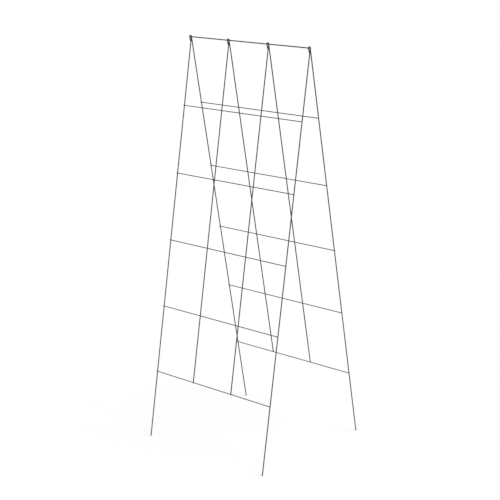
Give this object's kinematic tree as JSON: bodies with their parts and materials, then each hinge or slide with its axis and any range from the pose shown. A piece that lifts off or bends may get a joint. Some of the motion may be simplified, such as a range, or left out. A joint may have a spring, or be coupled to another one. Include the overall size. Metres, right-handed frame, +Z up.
{
  "type": "a-frame plant support",
  "caption": "Folding A-frame trellis of dark coated wire: welded mesh panels lean together on a top rod, the rear panel hooks over it to swing, and plain legs push into the soil.",
  "frame": {"origin": "on the ground, in the middle of the frame's bounding box", "axes": "+X along the top rod, +Y towards the rear panel, which swings, +Z up"},
  "size_m": [0.4632, 0.4426, 1.2041],
  "materials": {
    "rod_coat": "satin",
    "upright_coat": "satin",
    "crosswire_coat": "satin"
  },
  "bodies": {
    "front_panel": {"top_rod": "rod_coat", "front_leg_1": "upright_coat", "front_upright_2": "upright_coat", "front_upright_3": "upright_coat", "front_leg_4": "upright_coat", "front_crosswire_1": "crosswire_coat", "front_crosswire_2": "crosswire_coat", "front_crosswire_3": "crosswire_coat", "front_crosswire_4": "crosswire_coat", "front_crosswire_5": "crosswire_coat"},
    "rear_panel": {"rear_hook_1": "upright_coat", "rear_hook_2": "upright_coat", "rear_hook_3": "upright_coat", "rear_hook_4": "upright_coat", "rear_leg_1": "upright_coat", "rear_upright_2": "upright_coat", "rear_upright_3": "upright_coat", "rear_leg_4": "upright_coat", "rear_crosswire_1": "crosswire_coat", "rear_crosswire_2": "crosswire_coat", "rear_crosswire_3": "crosswire_coat", "rear_crosswire_4": "crosswire_coat", "rear_crosswire_5": "crosswire_coat"}
  },
  "joints": [
    {"name": "rear_panel_hinge", "type": "hinge", "parent": "front_panel", "child": "rear_panel", "pos_m": [0, -0.00193, 1.19861], "axis": [1, 0, 0], "range_deg": [-19.82, 159.4]}
  ]
}
